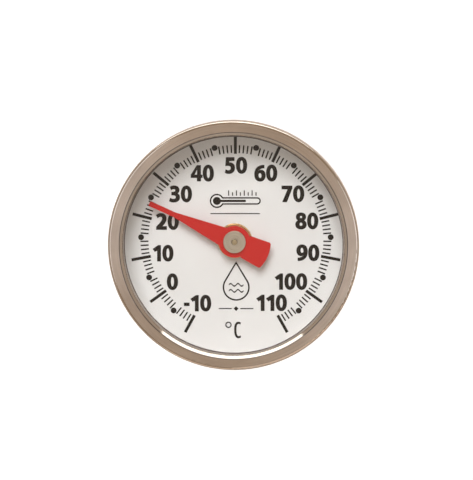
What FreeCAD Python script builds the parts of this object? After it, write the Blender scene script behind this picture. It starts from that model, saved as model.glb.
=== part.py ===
import FreeCAD, Part
import math
import os

# Pocket dial thermometer: a round stainless head on a thin closed stem.
# Millimetres. The dial faces +Z, the stem points down -Z and the scale's top mark is at +Y.
# The origin is on the stem's axis, level with the underside of the hex nut.

# ---- driving dimensions ----
head_diameter = 28.5
head_depth = 8.6  # from the case's flat back to the bezel's face
stem_diameter = 3.6
stem_length = 127.0  # from the case's flat back to the tip
nut_across_flats = 8.0
nut_height = 3.4
shaft_diameter = 0.8

# ---- clearances ----
press_gap = 0.02  # between pieces of one body that are pressed or crimped together
running_gap = 0.04  # between a shaft or sleeve and the hole that it turns in
free_gap = 0.15  # between pieces that move past each other

# ---- scale, with 50 degrees Celsius at the top ----
degrees_per_celsius = 2.52  # degrees of arc for each degree Celsius
top_reading = 50.0
shown_reading = 23.9

# ---- levels along the axis ----
washer_height = 0.45
recess_level = nut_height + washer_height  # stamped recess in the case's back, over the nut
recess_depth = 0.25
case_back = recess_level - recess_depth
face = case_back + head_depth
tip_end = case_back - stem_length

# ---- bezel, lens and case ----
sheet = 0.4  # bezel sheet
case_sheet = 0.35
bezel_radius = head_diameter / 2
bezel_height = 2.05
bezel_shoulder = 0.31  # rounding between the skirt and the flat face
lip_thickness = 0.45
opening_radius = 12.6
bevel_width = 0.38  # sloping edge of the lip, inside the flat face
bevel_depth = 0.33
skirt_inside = bezel_radius - sheet
clamped_radius = skirt_inside - 0.05
lens_thickness = 0.6
gasket_thickness = 0.25
gasket_inner = 12.38  # its edge shows through the lens, inside the bezel's lip
well_radius = 13.15  # inside of the case wall
case_radius = well_radius + case_sheet
case_corner = 1.0
lens_top = face - lip_thickness
lens_bottom = lens_top - lens_thickness
case_flange_top = lens_bottom - gasket_thickness
case_floor = case_back + case_sheet
recess_floor = recess_level + case_sheet
recess_radius = 5.2

# ---- dial ----
dial_depth = 5.5  # from the bezel's face down to the dial
dial_sheet = 0.35
dial_top = face - dial_depth
dial_radius = well_radius - press_gap
dial_hole_radius = 0.9

# ---- pointer and its hub ----
pointer_sheet = 0.25
pointer_height = 1.4  # from the dial up to the pointer's top
pointer_top = dial_top + pointer_height
pointer_bottom = pointer_top - pointer_sheet
tip_distance = 10.7
tip_width = 0.56
tip_corner = 0.12
bar_start = 7.5  # the arm is parallel from here out to its tip
arm_root_width = 2.55  # where the taper's sides would pass the hub's centre
eye_radius = 1.82
tail_root_width = 2.72
tail_end_width = 3.23
tail_root_distance = 1.36
tail_radius = 4.16
tail_corner = 0.25
collet_radius = 2.0
collet_flange = 0.2
collet_waist = 1.45
neck_radius = 0.75
hub_radius = 1.29
hub_thickness = 0.28
staked_diameter = 0.64  # the shaft's thinner end, through the hub disc
staked_height = 0.07

# ---- stem, nut and bearings ----
stem_radius = stem_diameter / 2
bore_radius = 1.5
root_radius = 2.0  # the tube is thicker where the nut grips it
tip_height = 3.0
tip_nose_radius = 0.7
spigot_height = 2.0
sleeve_radius = 2.6
ferrule_flange_radius = 4.2
ferrule_flange_thickness = 0.7
seal_height = 0.5
seal_inner = 2.95
seal_outer = 3.65
ferrule_flange_bottom = recess_floor + seal_height
ferrule_flange_top = ferrule_flange_bottom + ferrule_flange_thickness
nut_skirt = 0.8  # the nut's lower web, which closes on the tube
nut_chamfer_slope = 0.5
bearing_length = 4.0
bearing_head = 0.4
guide_length = 3.0
middle_guide_level = -38.0
lower_guide_level = -78.0

# ---- bimetal coil ----
coil_radius = 0.97  # inside of the coil
strip_thickness = 0.12
strip_width = 0.9
coil_pitch = 1.25
coil_turns = 26
anchor_height = 1.5
anchor_pin_height = 2.6
collar_height = 2.8
tube_end = tip_end + tip_height
anchor_bottom = tube_end + spigot_height
coil_bottom = anchor_bottom + anchor_height + 0.3
coil_top = coil_bottom + coil_pitch * coil_turns + strip_width
collar_bottom = coil_top - 2.2


def point(radius, height):
    return FreeCAD.Vector(radius, 0, height)


def outline(corners):
    """Closed wire through (x, y, rounding) corners, each rounded by a tangent arc."""
    places = [FreeCAD.Vector(x, y, 0) for x, y, _ in corners]
    runs = []
    for i, (_, _, rounding) in enumerate(corners):
        here = places[i]
        back = (places[i - 1] - here).normalize()
        ahead = (places[(i + 1) % len(places)] - here).normalize()
        if rounding == 0:
            runs.append((here, here, here))
            continue
        half_turn = back.getAngle(ahead) / 2
        reach = rounding / math.tan(half_turn)
        to_centre = (back + ahead).normalize()
        middle = here + to_centre * (rounding / math.sin(half_turn) - rounding)
        runs.append((here + back * reach, middle, here + ahead * reach))
    edges = []
    for i, (start, middle, end) in enumerate(runs):
        if start != end:
            edges.append(Part.Arc(start, middle, end).toShape())
        following = runs[(i + 1) % len(runs)][0]
        if (following - end).Length > 1e-6:
            edges.append(Part.LineSegment(end, following).toShape())
    return Part.Wire(edges)


def turned(corners):
    """Solid of revolution about the stem's axis from (radius, height, rounding) corners."""
    wire = outline(corners)
    wire.rotate(FreeCAD.Vector(0, 0, 0), FreeCAD.Vector(1, 0, 0), 90)
    return Part.Face(wire).revolve(FreeCAD.Vector(0, 0, 0), FreeCAD.Vector(0, 0, 1), 360)


def ring(inner, outer, bottom, top, rounding=0):
    """Plain ring or, with an inner radius of 0, a disc."""
    return turned(
        [
            (inner, bottom, 0 if inner == 0 else rounding),
            (outer, bottom, rounding),
            (outer, top, rounding),
            (inner, top, 0 if inner == 0 else rounding),
        ]
    )


# ---- head: bezel, lens, gasket, dial and case ----
def bezel_ring():
    """U-shaped ring: its lip covers the lens and its curl grips the case's flange."""
    curl_top = case_flange_top - case_sheet - press_gap
    bottom = face - bezel_height
    return turned(
        [
            (opening_radius, lens_top, 0),
            (opening_radius, face - bevel_depth, 0.15),
            (opening_radius + bevel_width, face, 0.12),
            (bezel_radius, face, bezel_shoulder),
            (bezel_radius, bottom, 0.3),
            (case_radius + 0.1, bottom, 0.1),
            (case_radius + 0.1, curl_top, 0.1),
            (skirt_inside, curl_top, 0),
            (skirt_inside, lens_top, 0),
        ]
    )


def lens():
    return ring(0, clamped_radius, lens_bottom, lens_top, 0.1)


def lens_gasket():
    return ring(gasket_inner, clamped_radius, case_flange_top, lens_bottom, 0.08)


def case_cup():
    """Drawn cup with a flange at its rim, a shallow recess in its back and a hole for the sleeve."""
    hole = sleeve_radius + running_gap
    case_flange_bottom = case_flange_top - case_sheet
    return turned(
        [
            (hole, recess_level, 0),
            (recess_radius, recess_level, 0.1),
            (recess_radius, case_back, 0.1),
            (case_radius, case_back, case_corner),
            (case_radius, case_flange_bottom, 0.1),
            (clamped_radius, case_flange_bottom, 0),
            (clamped_radius, case_flange_top, 0),
            (well_radius, case_flange_top, 0.15),
            (well_radius, case_floor, case_corner - case_sheet),
            (recess_radius + case_sheet, case_floor, 0.1),
            (recess_radius + case_sheet, recess_floor, 0.1),
            (hole, recess_floor, 0),
        ]
    )


def dial_plate():
    """Inverted dish whose turned-down rim is pressed into the case."""
    underside = dial_top - dial_sheet
    rim_bottom = case_floor + case_corner - case_sheet + press_gap
    return turned(
        [
            (dial_hole_radius, underside, 0),
            (dial_radius - dial_sheet, underside, 0.15),
            (dial_radius - dial_sheet, rim_bottom, 0),
            (dial_radius, rim_bottom, 0),
            (dial_radius, dial_top, 0.12),
            (dial_hole_radius, dial_top, 0),
        ]
    )


# ---- pointer and what turns with it ----
def sheet_plate(corners):
    """Flat piece of the pointer's sheet with the given outline."""
    return Part.Face(outline(corners)).extrude(FreeCAD.Vector(0, 0, pointer_sheet))


def pointer_arm():
    """Taper from the hub's centre, then a parallel bar to a blunt tip."""
    half_root = arm_root_width / 2
    half_tip = tip_width / 2
    return sheet_plate(
        [
            (-half_root, 0, 0),
            (half_root, 0, 0),
            (half_tip, bar_start, 0),
            (half_tip, tip_distance, tip_corner),
            (-half_tip, tip_distance, tip_corner),
            (-half_tip, bar_start, 0),
        ]
    )


def pointer_tail():
    """Counterweight that widens outwards and ends in an arc about the hub."""
    half_root = tail_root_width / 2
    half_end = tail_end_width / 2
    wedge = sheet_plate(
        [
            (half_root, -tail_root_distance, 0),
            (-half_root, -tail_root_distance, 0),
            (-half_end, -tail_radius, 0),
            (half_end, -tail_radius, 0),
        ]
    )
    tail = wedge.common(Part.makeCylinder(tail_radius, pointer_sheet))
    upright = [edge for edge in tail.Edges if edge.BoundBox.ZLength > pointer_sheet / 2]
    far_corners = [edge for edge in upright if edge.CenterOfMass.y < -tail_radius / 2]
    return tail.makeFillet(tail_corner, far_corners)


def pointer():
    """Flat red sheet: tapered arm, round eye and broad tail, turned to the reading."""
    eye = Part.makeCylinder(eye_radius, pointer_sheet)
    hole = Part.makeCylinder(neck_radius + press_gap, pointer_sheet)
    flat = pointer_arm().fuse([eye, pointer_tail()]).cut(hole).removeSplitter()
    turn = (top_reading - shown_reading) * degrees_per_celsius
    flat.translate(FreeCAD.Vector(0, 0, pointer_bottom))
    flat.rotate(FreeCAD.Vector(0, 0, 0), FreeCAD.Vector(0, 0, 1), turn)
    return flat


def pointer_collet():
    """Flanged brass collar under the pointer, with a neck through its eye."""
    bore = shaft_diameter / 2 + press_gap
    bottom = dial_top + free_gap
    return turned(
        [
            (bore, bottom, 0),
            (collet_radius, bottom, 0.06),
            (collet_radius, bottom + collet_flange, 0.06),
            (collet_waist, bottom + collet_flange, 0.05),
            (collet_waist, pointer_bottom, 0.05),
            (neck_radius, pointer_bottom, 0),
            (neck_radius, pointer_top, 0),
            (bore, pointer_top, 0),
        ]
    )


def hub_disc():
    bore = staked_diameter / 2 + press_gap
    return ring(bore, hub_radius, pointer_top, pointer_top + hub_thickness, 0.06)


def pointer_shaft():
    """Long shaft with a shoulder under the hub disc and a staked end above it."""
    top = pointer_top + hub_thickness + staked_height
    radius = shaft_diameter / 2
    staked_radius = staked_diameter / 2
    return turned(
        [
            (0, collar_bottom, 0),
            (radius, collar_bottom, 0),
            (radius, pointer_top, 0),
            (staked_radius, pointer_top, 0),
            (staked_radius, top, 0.12),
            (0, top, 0),
        ]
    )


def coil_collar():
    """Collar on the shaft's lower end, inside the top turns of the coil."""
    bore = shaft_diameter / 2 + press_gap
    return ring(bore, coil_radius - 0.07, collar_bottom, collar_bottom + collar_height, 0.05)


# ---- stem and what is fixed to it ----
def stem_tube():
    """Thin tube, thicker where the ferrule and the nut grip it."""
    return turned(
        [
            (bore_radius, tube_end, 0),
            (stem_radius, tube_end, 0),
            (stem_radius, 0, 0),
            (root_radius, 0, 0),
            (root_radius, ferrule_flange_top, 0.1),
            (bore_radius, ferrule_flange_top, 0),
        ]
    )


def stem_tip():
    """Welded end plug with a rounded taper."""
    spigot = bore_radius - press_gap
    return turned(
        [
            (0, tip_end, 0),
            (tip_nose_radius, tip_end, 0.5),
            (stem_radius, tube_end, 0),
            (spigot, tube_end, 0),
            (spigot, tube_end + spigot_height, 0.1),
            (0, tube_end + spigot_height, 0),
        ]
    )


def stem_ferrule():
    """Sleeve that the head turns on, with a flange inside the case that keeps it there."""
    bore = root_radius + press_gap
    return turned(
        [
            (bore, nut_skirt + press_gap, 0),
            (sleeve_radius, nut_skirt + press_gap, 0.1),
            (sleeve_radius, ferrule_flange_bottom, 0),
            (ferrule_flange_radius, ferrule_flange_bottom, 0.1),
            (ferrule_flange_radius, ferrule_flange_top, 0.15),
            (bore, ferrule_flange_top, 0),
        ]
    )


def hex_nut():
    """Hexagon with chamfered corners, bored in two steps for the tube and the ferrule."""
    corner_radius = nut_across_flats / math.sqrt(3)
    corners = []
    for i in range(6):
        angle = math.radians(60 * i)
        corners.append((corner_radius * math.cos(angle), corner_radius * math.sin(angle), 0))
    hexagon = Part.Face(outline(corners)).extrude(FreeCAD.Vector(0, 0, nut_height))
    flat_radius = nut_across_flats / 2
    chamfer_level = nut_chamfer_slope * (corner_radius - flat_radius)
    blank = turned(
        [
            (0, 0, 0),
            (flat_radius, 0, 0),
            (corner_radius, chamfer_level, 0),
            (corner_radius, nut_height - chamfer_level, 0),
            (flat_radius, nut_height, 0),
            (0, nut_height, 0),
        ]
    )
    lower_bore = Part.makeCylinder(root_radius + press_gap, nut_height)
    upper_bore = Part.makeCylinder(sleeve_radius + press_gap, nut_height)
    upper_bore.translate(point(0, nut_skirt))
    return hexagon.common(blank).cut(lower_bore).cut(upper_bore)


def friction_washer():
    """Cone-shaped spring washer that grips the case against the nut."""
    inner = sleeve_radius + free_gap
    outer = ferrule_flange_radius + 0.2
    thickness = 0.22
    top = recess_level - press_gap
    return turned(
        [
            (inner, nut_height, 0),
            (outer, top - thickness, 0),
            (outer, top, 0),
            (inner, nut_height + thickness, 0),
        ]
    )


def case_seal():
    """Rubber ring squeezed between the ferrule's flange and the case's floor."""
    return ring(seal_inner, seal_outer, recess_floor + press_gap, ferrule_flange_bottom, 0.18)


def upper_bearing():
    """Flanged bush in the tube's mouth, which guides the shaft just under the dial."""
    bore = shaft_diameter / 2 + running_gap
    outer = bore_radius - press_gap
    head_top = ferrule_flange_top + bearing_head
    return turned(
        [
            (bore, ferrule_flange_top - bearing_length, 0),
            (outer, ferrule_flange_top - bearing_length, 0.1),
            (outer, ferrule_flange_top, 0),
            (root_radius, ferrule_flange_top, 0),
            (root_radius, head_top, 0.1),
            (bore, head_top, 0),
        ]
    )


def guide_bush(level):
    """Plain bush that keeps the long shaft in the middle of the tube."""
    bore = shaft_diameter / 2 + running_gap
    return ring(bore, bore_radius - press_gap, level, level + guide_length, 0.1)


def coil_anchor():
    """Plug and pin that hold the coil's lower end still."""
    base_top = anchor_bottom + anchor_height
    pin = coil_radius - press_gap
    return turned(
        [
            (0, anchor_bottom + press_gap, 0),
            (bore_radius - press_gap, anchor_bottom + press_gap, 0.1),
            (bore_radius - press_gap, base_top, 0.1),
            (pin, base_top, 0),
            (pin, base_top + anchor_pin_height, 0.1),
            (0, base_top + anchor_pin_height, 0),
        ]
    )


def bimetal_coil():
    """Strip of two bonded metals wound edge to edge in a long helix."""
    outer_radius = coil_radius + strip_thickness
    section = Part.makePolygon(
        [
            point(coil_radius, 0),
            point(outer_radius, 0),
            point(outer_radius, strip_width),
            point(coil_radius, strip_width),
            point(coil_radius, 0),
        ]
    )
    helix = Part.makeHelix(coil_pitch, coil_pitch * coil_turns, coil_radius)
    coil = helix.makePipeShell([section], True, True)
    coil.translate(point(0, coil_bottom))
    return coil


pieces = {
    "bezel_ring": bezel_ring(),
    "lens": lens(),
    "lens_gasket": lens_gasket(),
    "case_cup": case_cup(),
    "dial_plate": dial_plate(),
    "pointer": pointer(),
    "pointer_collet": pointer_collet(),
    "hub_disc": hub_disc(),
    "pointer_shaft": pointer_shaft(),
    "coil_collar": coil_collar(),
    "stem_tube": stem_tube(),
    "stem_tip": stem_tip(),
    "stem_ferrule": stem_ferrule(),
    "hex_nut": hex_nut(),
    "friction_washer": friction_washer(),
    "case_seal": case_seal(),
    "upper_bearing": upper_bearing(),
    "middle_guide": guide_bush(middle_guide_level),
    "lower_guide": guide_bush(lower_guide_level),
    "coil_anchor": coil_anchor(),
    "bimetal_coil": bimetal_coil(),
}

os.makedirs("parts", exist_ok=True)
for name, shape in pieces.items():
    shape.exportStep(f"parts/{name}.step")
    print(name, len(shape.Solids), shape.isValid(), round(shape.Volume, 3))
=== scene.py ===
import math

import bmesh
import bpy
from mathutils import Matrix, Vector


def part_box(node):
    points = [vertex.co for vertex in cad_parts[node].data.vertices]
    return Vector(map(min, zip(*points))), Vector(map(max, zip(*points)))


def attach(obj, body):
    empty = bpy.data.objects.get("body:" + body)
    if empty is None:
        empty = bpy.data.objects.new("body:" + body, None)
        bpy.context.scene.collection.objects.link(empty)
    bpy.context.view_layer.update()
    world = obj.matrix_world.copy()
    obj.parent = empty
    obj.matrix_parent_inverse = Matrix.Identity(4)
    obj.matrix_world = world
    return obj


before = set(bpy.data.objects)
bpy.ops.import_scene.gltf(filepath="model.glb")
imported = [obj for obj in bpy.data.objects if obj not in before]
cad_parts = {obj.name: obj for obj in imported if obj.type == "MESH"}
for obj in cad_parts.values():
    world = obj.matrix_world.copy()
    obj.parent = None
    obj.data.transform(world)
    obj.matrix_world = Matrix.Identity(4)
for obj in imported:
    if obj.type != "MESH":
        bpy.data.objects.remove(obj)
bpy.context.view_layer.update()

MM = 0.001

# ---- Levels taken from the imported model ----
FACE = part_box("bezel_ring")[1].z
DIAL_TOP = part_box("dial_plate")[1].z
TIP_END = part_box("stem_tip")[0].z

# ---- Scale ----
DEGREES_PER_CELSIUS = 2.52
TOP_READING = 50
LOWEST_READING = -10
HIGHEST_READING = 110
PRINT_CENTRE = Vector((0.10 * MM, 0.025 * MM))  # printed a little off the shaft
PRINT_SCALE = 0.9985
PRINT_TURN = math.radians(0.25)
INK_DEPTH = 0.016 * MM


# ================= small tools =================
def link(name, mesh):
    piece = bpy.data.objects.new(name, mesh)
    bpy.context.scene.collection.objects.link(piece)
    return piece


class Nodes:
    """A material's node tree, built a node at a time."""

    def __init__(self, name):
        self.material = bpy.data.materials.new(name)
        self.material.use_nodes = True
        self.tree = self.material.node_tree
        self.tree.nodes.clear()
        self.place = None

    def add(self, kind, settings=None, **inputs):
        """A node with its settings and its inputs. An input is a value or another node's output."""
        node = self.tree.nodes.new("ShaderNode" + kind)
        for key, value in (settings or {}).items():
            setattr(node, key, value)
        for key, value in inputs.items():
            self.put(node, key.replace("_", " "), value)
        return node

    def put(self, node, key, value):
        socket = node.inputs[int(key)] if key.isdigit() else node.inputs[key]
        if isinstance(value, bpy.types.NodeSocket):
            self.tree.links.new(value, socket)
        else:
            socket.default_value = value

    def maths(self, operation, a, b=0.0):
        node = self.add("Math", {"operation": operation})
        self.put(node, "0", a)
        self.put(node, "1", b)
        return node.outputs[0]

    def position(self):
        """Place in the piece's own frame, in millimetres."""
        if self.place is None:
            found = self.add("TexCoord")
            scaled = self.add("VectorMath", {"operation": "SCALE"}, Scale=1000.0)
            self.put(scaled, "0", found.outputs["Object"])
            self.place = scaled.outputs[0]
        return self.place

    def parts(self):
        split = self.add("SeparateXYZ", Vector=self.position())
        return split.outputs[0], split.outputs[1], split.outputs[2]

    def radius(self):
        """Distance from the stem's axis, in millimetres."""
        x, y = self.parts()[:2]
        squares = self.maths("ADD", self.maths("MULTIPLY", x, x), self.maths("MULTIPLY", y, y))
        return self.maths("SQRT", squares)

    def round_marks(self, around, across, along):
        """Coordinates stretched round the axis.

        'around' sets the detail round it, 'across' outwards from it and 'along' up it.
        """
        x, y, z = self.parts()
        radius = self.radius()
        safe = self.maths("MAXIMUM", radius, 0.001)
        cosine = self.maths("MULTIPLY", self.maths("DIVIDE", x, safe), around)
        sine = self.maths("MULTIPLY", self.maths("DIVIDE", y, safe), around)
        line = self.maths("ADD", self.maths("MULTIPLY", radius, across), self.maths("MULTIPLY", z, along))
        return self.add("CombineXYZ", X=cosine, Y=sine, Z=line).outputs[0]

    def noise(self, vector, scale=1.0, detail=3.0, roughness=0.5):
        node = self.add("TexNoise", Vector=vector, Scale=scale, Detail=detail, Roughness=roughness)
        return node.outputs[0]

    def span(self, value, low, high, to_low=0.0, to_high=1.0, smooth=False):
        settings = {"interpolation_type": "SMOOTHSTEP"} if smooth else {}
        node = self.add("MapRange", settings, Value=value)
        self.put(node, "1", low)
        self.put(node, "2", high)
        self.put(node, "3", to_low)
        self.put(node, "4", to_high)
        return node.outputs[0]

    def band(self, value, low, high, edge):
        """1 between low and high, falling to 0 over edge on both sides."""
        rise = self.span(value, low - edge, low + edge, smooth=True)
        fall = self.span(value, high - edge, high + edge, 1.0, 0.0, smooth=True)
        return self.maths("MULTIPLY", rise, fall)

    def mix(self, factor, a, b):
        node = self.add("Mix", {"data_type": "RGBA"}, Factor=factor)
        for key, value in (("6", a), ("7", b)):
            self.put(node, key, (*value, 1.0) if isinstance(value, tuple) else value)
        return node.outputs[2]

    def bump(self, height, distance, strength=1.0):
        node = self.add("Bump", Height=height, Distance=distance, Strength=strength)
        return node.outputs[0]

    def finish(self, shader):
        output = self.add("OutputMaterial")
        self.tree.links.new(shader, output.inputs[0])
        return self.material


def principled(nodes, **inputs):
    return nodes.add("BsdfPrincipled", **inputs)


# ================= materials =================
BEZEL_FLAT = (12.96, 13.93)  # inner and outer radius of its turned face, in millimetres
POLISHED_ROUGHNESS = 0.07
# Painted dark reflection at the bezel flat's inner radius: how far it reaches and its colour.
PAINTED_REFLECTION_INWARD = 0.045  # how far the painted dark reflection reaches on each side of the inner radius
PAINTED_REFLECTION_OUTWARD = 0.035
PAINTED_REFLECTION_COLOUR = (0.07, 0.055, 0.06)
# Radius inside which the gasket is painted nearly black: painted shade at its inner edge.
GASKET_PAINTED_SHADE_RADIUS = 12.46


def turned_metal(name, light, dark, rough, spread=0.06, anisotropy=0.6, around=3.0, across=26.0, along=26.0,
                 depth=0.0012, marked=None, edge=(0.75, 0.7, 0.66)):
    """Metal with fine lathe marks round the axis, which darkens towards 'edge' at a glancing angle.

    The marks show between the two radii in 'marked', and everywhere without it. Outside them it is polished,
    and a dark line is painted at the inner one, a painted reflection of dark surroundings at the lip's edge.
    """
    n = Nodes(name)
    fine = n.noise(n.round_marks(around, across, along), 1.0, 4.0, 0.65)
    broad = n.noise(n.position(), 0.35, 3.0)
    marks = n.span(fine, 0.3, 0.7)
    colour = n.mix(marks, dark, light)
    cloud = n.span(broad, 0.3, 0.7, 0.93, 1.06)
    shade = n.add("Mix", {"data_type": "RGBA", "blend_type": "MULTIPLY"}, Factor=1.0)
    n.put(shade, "6", colour)
    n.put(shade, "7", n.add("CombineColor", Red=cloud, Green=cloud, Blue=cloud).outputs[0])
    colour = shade.outputs[2]
    roughness = n.span(fine, 0.25, 0.75, rough - spread, rough + spread)
    strength = 1.0
    if marked is not None:
        inner, outer = marked
        on = n.band(n.radius(), inner, outer, 0.03)
        roughness = n.maths("ADD", n.maths("MULTIPLY", roughness, on),
                            n.maths("MULTIPLY", n.maths("SUBTRACT", 1.0, on), POLISHED_ROUGHNESS))
        strength = n.maths("ADD", n.maths("MULTIPLY", on, 0.9), 0.1)
        # Painted dark reflection: a near-black band at the flat's inner radius, standing in for the lip's
        # edge reflecting dark surroundings.
        line = n.band(n.radius(), inner - PAINTED_REFLECTION_INWARD, inner + PAINTED_REFLECTION_OUTWARD, 0.02)
        colour = n.mix(n.maths("MULTIPLY", line, 0.9), colour, PAINTED_REFLECTION_COLOUR)
    tangent = n.add("Tangent", {"direction_type": "RADIAL", "axis": "Z"})
    shader = principled(n, Base_Color=colour, Metallic=1.0, Roughness=roughness,
                        Anisotropic=anisotropy, Anisotropic_Rotation=0.25, Tangent=tangent.outputs[0],
                        Specular_Tint=(*edge, 1.0),
                        Normal=n.bump(fine, depth * MM, strength))
    return n.finish(shader.outputs[0])


def clear_glass():
    """Window glass that lets lamps through to the dial."""
    n = Nodes("lens_glass")
    smear = n.noise(n.position(), 0.22, 4.0, 0.55)
    roughness = n.span(smear, 0.45, 0.75, 0.0, 0.02)
    glass = principled(n, Base_Color=(0.985, 0.992, 0.99, 1.0), Roughness=roughness, IOR=1.45,
                       Specular_IOR_Level=0.05, Transmission_Weight=1.0,
                       Normal=n.bump(smear, 0.0006 * MM, 0.4))
    path = n.add("LightPath")
    passes = n.maths("MAXIMUM", path.outputs["Is Shadow Ray"], path.outputs["Is Diffuse Ray"])
    open_side = n.add("BsdfTransparent", Color=(0.97, 0.975, 0.97, 1.0))
    joined = n.add("MixShader", Fac=passes)
    n.put(joined, "1", glass.outputs[0])
    n.put(joined, "2", open_side.outputs[0])
    return n.finish(joined.outputs[0])


def enamel():
    """White enamel on the dial, with a faint orange peel and a slightly warm cast."""
    n = Nodes("dial_enamel")
    broad = n.noise(n.position(), 0.18, 3.0)
    fine = n.noise(n.position(), 9.0, 3.0, 0.6)
    colour = n.mix(n.span(broad, 0.3, 0.7), (0.79, 0.775, 0.765), (0.83, 0.82, 0.81))
    colour = n.mix(n.span(fine, 0.35, 0.85, 0.0, 0.18), colour, (0.74, 0.725, 0.71))
    roughness = n.span(fine, 0.3, 0.7, 0.34, 0.44)
    shader = principled(n, Base_Color=colour, Roughness=roughness, Coat_Weight=0.15, Coat_Roughness=0.2,
                        Normal=n.bump(fine, 0.002 * MM, 0.5))
    return n.finish(shader.outputs[0])


def paint(name, base, worn, rough, grain=6.0, depth=0.004, gloss=0.2):
    """Sprayed paint: fine grain, small shade changes and a soft sheen."""
    n = Nodes(name)
    fine = n.noise(n.position(), grain, 5.0, 0.65)
    broad = n.noise(n.position(), grain / 14, 3.0)
    both = n.maths("ADD", n.maths("MULTIPLY", fine, 0.55), n.maths("MULTIPLY", broad, 0.45))
    colour = n.mix(n.span(both, 0.35, 0.65), base, worn)
    roughness = n.span(fine, 0.3, 0.7, rough - 0.07, rough + 0.07)
    shader = principled(n, Base_Color=colour, Roughness=roughness, Specular_IOR_Level=gloss,
                        Normal=n.bump(fine, depth * MM, 0.6))
    return n.finish(shader.outputs[0])


def rubber(name, colour, painted_shade_radius=0.0):
    """Matt rubber with a fine grain. Inside the radius given last it is painted nearly black, as painted
    shade at its inner edge.
    """
    n = Nodes(name)
    fine = n.noise(n.position(), 12.0, 4.0, 0.6)
    shade = n.mix(n.span(fine, 0.3, 0.7), colour, tuple(c * 1.7 for c in colour))
    # Painted shade: nearly black inside the given radius, standing in for the shade at the gasket's inner
    # edge.
    if painted_shade_radius > 0.0:
        shade = n.mix(n.span(n.radius(), painted_shade_radius - 0.03, painted_shade_radius + 0.03), (0.05, 0.03, 0.03), shade)
    shader = principled(n, Base_Color=shade, Roughness=n.span(fine, 0.3, 0.7, 0.55, 0.75),
                        Normal=n.bump(fine, 0.006 * MM, 0.7))
    return n.finish(shader.outputs[0])


STEEL_LIGHT = (0.60, 0.49, 0.39)
STEEL_DARK = (0.45, 0.36, 0.28)
BRASS_LIGHT = (0.86, 0.60, 0.28)
BRASS_DARK = (0.70, 0.43, 0.16)

finishes = {
    "bezel_ring": turned_metal("bezel_steel", STEEL_LIGHT, STEEL_DARK, 0.34, marked=BEZEL_FLAT,
                               edge=(0.5, 0.4, 0.33)),
    "case_cup": turned_metal("case_steel", (0.68, 0.62, 0.57), (0.56, 0.51, 0.46), 0.27, around=2.0,
                             across=14.0, along=14.0, depth=0.0009),
    "stem_tube": turned_metal("stem_steel", (0.70, 0.66, 0.62), (0.60, 0.56, 0.52), 0.2, around=2.0,
                              across=5.0, along=18.0, depth=0.0008),
    "hex_nut": turned_metal("nut_steel", (0.66, 0.61, 0.56), (0.52, 0.48, 0.44), 0.3, around=2.0,
                            across=12.0, along=9.0, depth=0.0015),
    "stem_ferrule": turned_metal("ferrule_steel", (0.62, 0.58, 0.54), (0.5, 0.46, 0.42), 0.3),
    "friction_washer": turned_metal("spring_steel", (0.4, 0.39, 0.40), (0.28, 0.27, 0.28), 0.32, around=1.5,
                                    across=10.0),
    "hub_disc": turned_metal("hub_steel", (0.54, 0.45, 0.34), (0.30, 0.24, 0.17), 0.36, anisotropy=0.3,
                             around=0.35, across=13.0, depth=0.005),
    "pointer_shaft": turned_metal("shaft_brass", (0.55, 0.42, 0.24), (0.30, 0.22, 0.12), 0.3, around=0.6,
                                  across=14.0, depth=0.003),
    "pointer_collet": turned_metal("collet_brass", BRASS_LIGHT, BRASS_DARK, 0.28, around=1.0, across=14.0),
    "upper_bearing": turned_metal("bearing_brass", BRASS_LIGHT, BRASS_DARK, 0.33),
    "bimetal_coil": turned_metal("bimetal_strip", (0.62, 0.5, 0.38), (0.47, 0.37, 0.28), 0.38, around=4.0),
    "lens": clear_glass(),
    "dial_plate": enamel(),
    "pointer": paint("pointer_red", (0.56, 0.010, 0.008), (0.50, 0.013, 0.010), 0.42, gloss=0.06),
    "lens_gasket": rubber("gasket_rubber", (0.30, 0.25, 0.215), GASKET_PAINTED_SHADE_RADIUS),
    "case_seal": rubber("seal_rubber", (0.09, 0.025, 0.018)),
}
finishes["stem_tip"] = finishes["stem_tube"]
for node in ("middle_guide", "lower_guide", "coil_anchor", "coil_collar"):
    finishes[node] = finishes["upper_bearing"]
for node, finish in finishes.items():
    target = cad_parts[node]
    target.data.materials.clear()
    target.data.materials.append(finish)

# ================= printed dial =================
# Figures are outlines on a grid: straight corners are points, and curves are (handle, handle, point).
GRID_HEIGHT = 100
FIGURE_HEIGHT = 1.79 * MM
FIGURE_UNIT = FIGURE_HEIGHT / GRID_HEIGHT
FIGURE_STEP = 75
FIGURE_SWELL = 3.7  # added all round a figure's outline
DRAWN_HEAVY = "24C"  # outlines drawn at their full weight
ROUND = 0.5523  # handle length for a quarter of a circle of radius 1


def oval(cx, cy, rx, ry, squareness=ROUND):
    """Closed outline of four curves."""
    kx, ky = rx * squareness, ry * squareness
    return [
        (cx + rx, cy),
        ((cx + rx, cy + ky), (cx + kx, cy + ry), (cx, cy + ry)),
        ((cx - kx, cy + ry), (cx - rx, cy + ky), (cx - rx, cy)),
        ((cx - rx, cy - ky), (cx - kx, cy - ry), (cx, cy - ry)),
        ((cx + kx, cy - ry), (cx + rx, cy - ky), (cx + rx, cy)),
    ]


def half_turn(outline, width=72, height=99.5):
    """The outline turned upside down about the middle of a cell of that width and height."""
    def flip(p):
        return (width - p[0], height - p[1])
    return [tuple(flip(q) for q in p) if isinstance(p[0], tuple) else flip(p) for p in outline]


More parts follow.
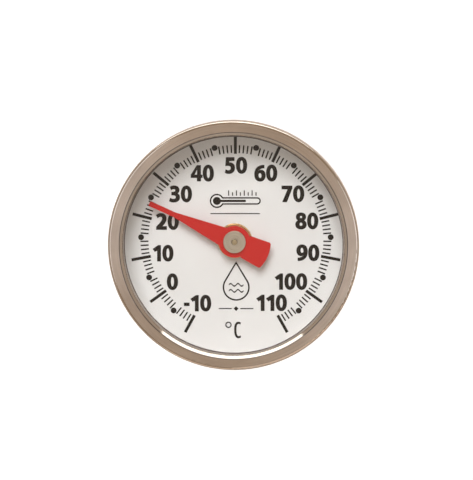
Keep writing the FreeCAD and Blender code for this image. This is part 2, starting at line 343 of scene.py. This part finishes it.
SIX_BODY = [
    (61, 99), (61, 84), ((56, 84.5), (53, 84), (50, 83)), ((36, 80), (27, 72), (24.5, 60)),
    ((29, 65), (35, 67.5), (42, 67.5)), ((58, 67.5), (69, 55), (69, 35)),
    ((69, 14), (56, -1.5), (37, -1.5)),
    ((15, -1.5), (3, 15), (3, 41)), ((3, 60), (9, 75), (20, 85)), ((30, 94), (43, 99), (61, 99)),
]
SIX_HOLE = [
    (36.5, 53), ((29, 53), (23.5, 47), (23.5, 39)), ((23.5, 25), (28, 14), (37.5, 14)),
    ((45.5, 14), (49, 22), (49, 33.5)), ((49, 45), (45, 53), (36.5, 53)),
]
FIGURES = {
    "0": [oval(36, 50, 32.5, 51, 0.6), oval(36, 50, 13.5, 35, 0.62)],
    "1": [[(45, 0), (62.5, 0), (62.5, 99), (50, 99), (17.5, 77), (28, 63), (45, 74)]],
    "2": [[
        (0.3, -3.7), (69.7, -3.7), (69.7, 20), (41, 20), ((55, 33), (67.7, 50), (67.7, 71)),
        ((67.7, 92), (53, 104.7), (34, 104.7)), ((19.5, 104.7), (8, 100), (-0.7, 91.8)), (11, 71),
        ((16.5, 77), (22.5, 80.8), (29, 80.8)), ((36, 80.8), (39.8, 77.5), (39.8, 70.5)),
        ((39.8, 57), (24, 41), (0.3, 16.5)),
    ]],
    "3": [[
        (8, 94), (14, 79), ((18, 82), (24, 84.5), (30, 84.5)), ((38, 84.5), (43, 80.5), (43, 74)),
        ((43, 65), (36, 60), (26, 60)), (18, 60), (18, 44.5), (26, 44.5),
        ((38, 44.5), (46, 39), (46, 29.5)),
        ((46, 20), (38, 14.5), (28, 14.5)), ((20, 14.5), (13, 17), (8, 20)), (3, 4.5),
        ((9, 1), (18, -1.5), (28, -1.5)), ((51, -1.5), (66, 9), (66, 28)), ((66, 41), (58, 50), (46, 53)),
        ((57, 57), (63, 65), (63, 75)), ((63, 91), (51, 101), (33, 101)), ((22, 101), (13, 98), (8, 94)),
    ]],
    "4": [
        [(37.5, -3), (63.5, -3), (63.5, 19.5), (74, 19.5), (74, 40.5), (63.5, 40.5), (63.5, 102), (37, 102),
         (-2, 40), (-2, 19.5), (37.5, 19.5)],
        [(38.5, 73), (38.5, 40.5), (23, 40.5)],
    ],
    "5": [[
        (62, 99), (62, 82.5), (29, 82.5), (28, 65), ((30, 65.5), (32, 65.5), (34, 65.5)),
        ((53, 65.5), (65, 54), (65, 34)), ((65, 13), (50, -1.5), (28, -1.5)), ((19, -1.5), (12, 1), (7, 4)),
        (11, 19.5), ((15, 17), (21, 14.5), (27, 14.5)), ((38, 14.5), (45, 22), (45, 33)),
        ((45, 45), (37, 50.5), (24, 50.5)), ((19, 50.5), (15, 50), (10, 49)), (14, 99),
    ]],
    "6": [SIX_BODY, SIX_HOLE],
    "7": [[(5, 99), (67, 99), (67, 86), (33, 0), (11, 0), (45, 82.5), (5, 82.5)]],
    "8": [[
        (36, 101), ((54, 101), (65, 91), (65, 76)), ((65, 66), (59, 58), (50, 53)),
        ((61, 48), (69, 40), (69, 27)),
        ((69, 10), (55, -1.5), (36, -1.5)), ((17, -1.5), (3, 10), (3, 27)), ((3, 40), (11, 48), (22, 53)),
        ((13, 58), (7, 66), (7, 76)), ((7, 91), (18, 101), (36, 101)),
    ], oval(36, 75.5, 10.5, 11), oval(36, 28.5, 13, 14.5)],
    "9": [half_turn(SIX_BODY), half_turn(SIX_HOLE)],
    "-": [[(4, 35), (33, 35), (33, 50), (4, 50)]],
    "C": [[
        (40, 94), ((36, 97.5), (31, 99.5), (25, 99.5)), ((9, 99.5), (0, 82), (0, 50)),
        ((0, 17), (9, -0.5), (25, -0.5)),
        ((31, -0.5), (36, 1.5), (41, 5)), (39, 17), ((35, 14), (31, 12.5), (27, 12.5)),
        ((18, 12.5), (14, 26), (14, 50)), ((14, 73), (18, 86.5), (27, 86.5)),
        ((31, 86.5), (35, 85), (38.5, 82)),
    ]],
}
ADVANCE = {"-": 30}
TIGHTER = {"11": 12}  # taken off the step between these two figures


def step_after(text, i):
    """Distance from the start of figure i to the start of the next."""
    return ADVANCE.get(text[i], FIGURE_STEP) - TIGHTER.get(text[i:i + 2], 0)


def flat_shape(outlines, thickness, swell=0.0):
    """Mesh of flat outlines, holes included, with the given thickness, standing on z = 0."""
    curve = bpy.data.curves.new("outline", "CURVE")
    curve.offset = swell
    curve.dimensions = "2D"
    curve.fill_mode = "BOTH"
    curve.extrude = thickness / 2
    curve.resolution_u = 8
    for outline in outlines:
        places = [p[2] if isinstance(p[0], tuple) else p for p in outline]
        closes = len(places) > 1 and places[0] == places[-1]
        count = len(places) - 1 if closes else len(places)
        spline = curve.splines.new("BEZIER")
        spline.bezier_points.add(count - 1)
        spline.use_cyclic_u = True
        for i in range(count):
            point = spline.bezier_points[i]
            point.handle_left_type = point.handle_right_type = "FREE"
            point.co = (*places[i], 0)
            point.handle_left = point.handle_right = point.co
        for i, p in enumerate(outline):
            if isinstance(p[0], tuple):
                spline.bezier_points[i - 1].handle_right = (*p[0], 0)
                spline.bezier_points[i % count].handle_left = (*p[1], 0)
    holder = bpy.data.objects.new("outline", curve)
    bpy.context.scene.collection.objects.link(holder)
    bpy.context.view_layer.update()
    mesh = bpy.data.meshes.new_from_object(holder.evaluated_get(bpy.context.evaluated_depsgraph_get()))
    bpy.data.objects.remove(holder)
    bpy.data.curves.remove(curve)
    mesh.transform(Matrix.Translation((0, 0, thickness / 2)))
    return mesh


class Print:
    """One printed layer on the dial, gathered from flat shapes."""

    def __init__(self):
        self.work = bmesh.new()

    def add(self, mesh, matrix):
        copy = mesh.copy()
        copy.transform(matrix)
        self.work.from_mesh(copy)
        bpy.data.meshes.remove(copy)

    def bar(self, inner, outer, width, degrees):
        """A radial stroke, at an angle clockwise from the top."""
        half = width / 2
        mesh = flat_shape([[(-half, inner), (half, inner), (half, outer), (-half, outer)]], INK_DEPTH)
        self.add(mesh, Matrix.Rotation(-math.radians(degrees), 4, "Z"))

    def figures(self, text, centre, size=1.0):
        """Upright figures with the middle of their outlines at centre."""
        unit = FIGURE_UNIT * size
        starts = [sum(step_after(text, j) for j in range(i)) for i in range(len(text))]
        low = min(v.co.x for v in figure_mesh(text[0]).vertices)
        high = starts[-1] + max(v.co.x for v in figure_mesh(text[-1]).vertices)
        for letter, start in zip(text, starts):
            across = (start - (low + high) / 2) * unit
            place = Matrix.Translation((centre[0] + across, centre[1] - GRID_HEIGHT / 2 * unit, 0))
            self.add(figure_mesh(letter), place @ Matrix.Diagonal((unit, unit, 1, 1)))

    def shape(self, *outlines, at=(0.0, 0.0)):
        """A flat shape in millimetres, moved to a place."""
        mesh = flat_shape(outlines, INK_DEPTH / MM)
        self.add(mesh, Matrix.Scale(MM, 4) @ Matrix.Translation((*at, 0)))

    def done(self, name, finish):
        place = Matrix.Translation((PRINT_CENTRE.x, PRINT_CENTRE.y, DIAL_TOP - INK_DEPTH / 8))
        size = Matrix.Diagonal((PRINT_SCALE, PRINT_SCALE, 1.0, 1.0))
        bmesh.ops.transform(self.work, verts=self.work.verts,
                            matrix=place @ Matrix.Rotation(PRINT_TURN, 4, "Z") @ size)
        mesh = bpy.data.meshes.new(name)
        self.work.to_mesh(mesh)
        self.work.free()
        mesh.materials.append(finish)
        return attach(link(name, mesh), "head")


figure_meshes = {}


def figure_mesh(letter):
    if letter not in figure_meshes:
        swell = 0.0 if letter in DRAWN_HEAVY else FIGURE_SWELL
        figure_meshes[letter] = flat_shape(FIGURES[letter], INK_DEPTH, swell)
    return figure_meshes[letter]


ink = paint("scale_ink", (0.002, 0.001, 0.001), (0.006, 0.003, 0.002), 0.5, grain=7.0, depth=0.003,
            gloss=0.0)

MAJOR_INNER = 9.99 * MM
MAJOR_OUTER = 12.26 * MM
MINOR_INNER = 10.08 * MM
MINOR_OUTER = 11.0 * MM
MAJOR_WIDTH = 0.34 * MM
MINOR_WIDTH = 0.165 * MM
DOT_DISTANCE = 10.93 * MM
DOT_RADIUS = 0.337 * MM

marks = Print()
dot = flat_shape([oval(0, 0, DOT_RADIUS, DOT_RADIUS)], INK_DEPTH)
for reading in range(LOWEST_READING, HIGHEST_READING + 1):
    angle = (reading - TOP_READING) * DEGREES_PER_CELSIUS
    if reading % 10 == 0:
        marks.bar(MAJOR_INNER, MAJOR_OUTER, MAJOR_WIDTH, angle)
    elif reading % 5 == 0:
        turn = Matrix.Rotation(-math.radians(angle), 4, "Z")
        marks.add(dot, turn @ Matrix.Translation((0, DOT_DISTANCE, 0)))
    else:
        marks.bar(MINOR_INNER, MINOR_OUTER, MINOR_WIDTH, angle)
marks.done("scale_marks", ink)

NUMERAL_CENTRES = {
    -10: (-4.45, -7.34), 0: (-7.34, -4.84), 10: (-8.40, -1.52), 20: (-7.87, 2.16), 30: (-6.34, 5.36),
    40: (-3.81, 7.76), 50: (0.06, 8.66), 60: (3.48, 7.77), 70: (6.59, 5.37), 80: (8.18, 2.23),
    90: (8.30, -1.47), 100: (6.34, -4.81), 110: (4.10, -7.29),
}
numerals = Print()
for reading, (x, y) in NUMERAL_CENTRES.items():
    numerals.figures(str(reading), (x * MM, y * MM))
numerals.done("scale_numerals", ink)

LETTER_CENTRE = (0.16 * MM, -10.46 * MM)
LETTER_SIZE = 1.08  # against the numerals
DEGREE_CENTRE = (-0.89 * MM, -9.87 * MM)
DEGREE_RADIUS = 0.37 * MM
DEGREE_LINE = 0.14 * MM
unit = Print()
unit.figures("C", LETTER_CENTRE, LETTER_SIZE)
degree = flat_shape([
    oval(0, 0, DEGREE_RADIUS, DEGREE_RADIUS),
    oval(0, 0, DEGREE_RADIUS - DEGREE_LINE, DEGREE_RADIUS - DEGREE_LINE),
], INK_DEPTH)
unit.add(degree, Matrix.Translation((*DEGREE_CENTRE, 0)))
unit.done("unit_sign", ink)


def arc(cx, cy, radius, start, end, steps=24):
    """Points along an arc, between two angles in degrees."""
    angles = [math.radians(start + (end - start) * i / steps) for i in range(steps + 1)]
    return [(cx + radius * math.cos(a), cy + radius * math.sin(a)) for a in angles]


def tube_outline(bulb_x, end_x, bulb, half):
    """A round bulb with a straight tube to the right of it, closed by a half round."""
    neck = math.degrees(math.asin(half / bulb))
    return arc(end_x - half, 0, half, -90, 90) + arc(bulb_x, 0, bulb, neck, 360 - neck, 40)


def drop_outline(low_y, radius, tip_y):
    """A drop with its point upwards."""
    lean = math.degrees(math.asin(radius / (tip_y - low_y)))
    return [(0, tip_y)] + arc(0, low_y, radius, lean, -180 - lean, 40)


def wave_outline(half_length, height, line, y, steps=24):
    """A line of two waves."""
    along = [i / steps for i in range(steps + 1)]
    middle = [((2 * t - 1) * half_length, y + height * math.sin(4 * math.pi * t)) for t in along]
    return [(x, h - line / 2) for x, h in middle] + [(x, h + line / 2) for x, h in reversed(middle)]


def rule(left, right, line, y=0.0):
    return [(left, y - line / 2), (right, y - line / 2), (right, y + line / 2), (left, y + line / 2)]


signs = Print()
THERMOMETER_PLACE = (-0.05, 4.55)
BULB_X = -2.1
TICK_COUNT = 8
TICK_STEP = 0.45
TICK_FOOT = 0.6
FIRST_TICK_X = -0.75
HALF_TICK = 0.06
LONG_TICK = 0.62
SHORT_TICK = 0.4
signs.shape(tube_outline(BULB_X, end_x=2.95, bulb=0.82, half=0.43),
            tube_outline(BULB_X, end_x=2.79, bulb=0.66, half=0.27), at=THERMOMETER_PLACE)
signs.shape(tube_outline(BULB_X, end_x=1.25, bulb=0.46, half=0.13), at=THERMOMETER_PLACE)
for i in range(TICK_COUNT):
    height = LONG_TICK if i % 2 == 0 else SHORT_TICK
    x = FIRST_TICK_X + TICK_STEP * i
    left, right_end, top = x - HALF_TICK, x + HALF_TICK, TICK_FOOT + height
    signs.shape([(left, TICK_FOOT), (right_end, TICK_FOOT), (right_end, top), (left, top)],
                at=THERMOMETER_PLACE)
signs.shape(rule(-2.9, 2.8, 0.11), at=(0.0, 3.08))
DROP_PLACE = (0.02, -4.75)
DROP_LOW = -0.74
signs.shape(drop_outline(DROP_LOW, radius=1.56, tip_y=2.3),
            drop_outline(DROP_LOW, radius=1.38, tip_y=1.98), at=DROP_PLACE)
for y in (-0.45, -1.15):
    signs.shape(wave_outline(half_length=0.85, height=0.15, line=0.17, y=y), at=DROP_PLACE)
BROKEN_RULE_PLACE = (0.0, -7.97)
HALF_DIAMOND = 0.28
for left, right_end in ((-2.0, -0.5), (0.5, 2.0)):
    signs.shape(rule(left, right_end, 0.12), at=BROKEN_RULE_PLACE)
signs.shape([(-HALF_DIAMOND, 0), (0, -HALF_DIAMOND), (HALF_DIAMOND, 0), (0, HALF_DIAMOND)],
            at=BROKEN_RULE_PLACE)
signs.done("dial_signs", ink)

# ================= camera =================
TILT_UP = math.radians(7.4)
TILT_RIGHT = math.radians(2.0)
CAMERA_DISTANCE = 0.340
FIELD_HEIGHT = 54.36 * MM  # how much of the head's plane the picture takes in, from top to bottom
AIM_RIGHT = 0.368 * MM  # the picture's middle, from the middle of the head
AIM_UP = 0.725 * MM
SENSOR = 36.0  # millimetres, as the lens is

toward = Vector((math.tan(TILT_RIGHT), math.tan(TILT_UP), 1.0)).normalized()
right = Vector((0, 1, 0)).cross(toward).normalized()
up = toward.cross(right)
middle = Vector((0, 0, FACE))
aim = middle + right * AIM_RIGHT + up * AIM_UP
camera_data = bpy.data.cameras.new("camera")
camera_data.sensor_fit = "VERTICAL"
camera_data.sensor_height = SENSOR
camera_data.sensor_width = SENSOR
camera_data.lens = SENSOR * CAMERA_DISTANCE / FIELD_HEIGHT
camera_data.clip_start = 0.01
camera = bpy.data.objects.new("camera", camera_data)
bpy.context.scene.collection.objects.link(camera)
turn = Matrix((right, up, toward)).transposed().to_4x4()
camera.matrix_world = Matrix.Translation(aim + toward * CAMERA_DISTANCE) @ turn
bpy.context.scene.camera = camera

# ================= stage and light =================
# Painted pool of light on the floor: extra glow near the stem's axis, fading out between these two radii.
PAINTED_POOL_INNER = 75.0  # millimetres from the stem's axis
PAINTED_POOL_OUTER = 220.0
PAINTED_POOL_GLOW = 0.2
FLOOR_GLOW = 0.15
FLOOR_RADIUS = 4.0
FLOOR_GAP = 0.2 * MM  # between the stem's tip and the floor


def floor_finish():
    """Pale matt floor with an even glow, and a painted pool of light: it glows more near the stem's axis."""
    n = Nodes("studio_floor")
    distance = n.radius()
    # Painted pool of light: the glow falls from full near the axis to none further out.
    painted_pool = n.span(distance, PAINTED_POOL_INNER, PAINTED_POOL_OUTER, 1.0, 0.0, smooth=True)
    cloud = n.noise(n.position(), 0.01, 3.0)
    shade = n.span(cloud, 0.3, 0.7, 0.85, 0.88)
    base = n.add("BsdfDiffuse", Color=n.add("CombineColor", Red=shade, Green=shade, Blue=shade).outputs[0])
    strength = n.maths("ADD", n.maths("MULTIPLY", painted_pool, PAINTED_POOL_GLOW), FLOOR_GLOW)
    glow = n.add("Emission", Color=(1.0, 1.0, 1.0, 1.0), Strength=strength)
    both = n.add("AddShader")
    n.put(both, "0", base.outputs[0])
    n.put(both, "1", glow.outputs[0])
    return n.finish(both.outputs[0])


bm = bmesh.new()
bmesh.ops.create_circle(bm, cap_ends=True, segments=96, radius=FLOOR_RADIUS)
floor_mesh = bpy.data.meshes.new("floor")
bm.to_mesh(floor_mesh)
bm.free()
floor_mesh.materials.append(floor_finish())
floor = link("floor", floor_mesh)
floor.location = (0, 0, TIP_END - FLOOR_GAP)


def studio():
    """Room light by height: a warm ceiling, darker upper walls and paler light from low down."""
    world = bpy.data.worlds.new("studio")
    world.use_nodes = True
    tree = world.node_tree
    place = tree.nodes.new("ShaderNodeTexCoord")
    split = tree.nodes.new("ShaderNodeSeparateXYZ")
    tree.links.new(place.outputs["Generated"], split.inputs[0])
    ramp = tree.nodes.new("ShaderNodeValToRGB")
    tree.links.new(split.outputs[2], ramp.inputs[0])
    stops = [
        (0.0, (0.62, 0.61, 0.60)), (0.16, (0.58, 0.56, 0.54)), (0.34, (0.56, 0.51, 0.47)),
        (0.84, (0.36, 0.30, 0.24)), (0.985, (0.58, 0.485, 0.40)),
    ]
    ramp.color_ramp.interpolation = "EASE"
    while len(ramp.color_ramp.elements) < len(stops):
        ramp.color_ramp.elements.new(0.5)
    for stop, (level, colour) in zip(ramp.color_ramp.elements, stops):
        stop.position = level
        stop.color = (*colour, 1.0)
    tree.links.new(ramp.outputs[0], tree.nodes["Background"].inputs["Color"])
    bpy.context.scene.world = world


def softbox(name, azimuth, off_axis, distance, size, power, colour=(1.0, 1.0, 1.0), card=True):
    """Area lamp aimed at the head. azimuth is counted from +X towards +Y and off_axis from straight above.

    A card is seen only in the metal and the glass, and the other lamps only light what they fall on.
    """
    data = bpy.data.lights.new(name, "AREA")
    data.shape = "ELLIPSE" if card else "RECTANGLE"
    data.size, data.size_y = size
    data.energy = power
    data.color = colour
    lamp = bpy.data.objects.new(name, data)
    a, t = math.radians(azimuth), math.radians(off_axis)
    direction = Vector((math.sin(t) * math.cos(a), math.sin(t) * math.sin(a), math.cos(t)))
    aimed = direction.to_track_quat("Z", "Y").to_matrix().to_4x4()
    lamp.matrix_world = Matrix.Translation(middle + direction * distance) @ aimed
    lamp.visible_glossy = card
    lamp.visible_diffuse = not card
    bpy.context.scene.collection.objects.link(lamp)


DAYLIGHT = (0.68, 0.8, 1.0)
studio()
softbox("key", azimuth=98, off_axis=36, distance=0.6, size=(0.32, 0.32), power=3.5,
        colour=(0.955, 0.97, 1.0), card=False)
softbox("far_card", azimuth=90, off_axis=76, distance=0.5, size=(0.98, 0.34), power=2.5,
        colour=(0.80, 0.90, 1.0))
softbox("near_card", azimuth=270, off_axis=62, distance=0.6, size=(0.9, 0.4), power=0.62,
        colour=(1.0, 0.93, 0.87))
softbox("left_card", azimuth=174, off_axis=28, distance=0.6, size=(0.40, 0.36), power=0.50,
        colour=DAYLIGHT)
softbox("right_card", azimuth=340, off_axis=28, distance=0.6, size=(0.40, 0.36), power=0.56,
        colour=DAYLIGHT)

bpy.context.scene.view_settings.view_transform = "Standard"
bpy.context.scene.view_settings.look = "None"
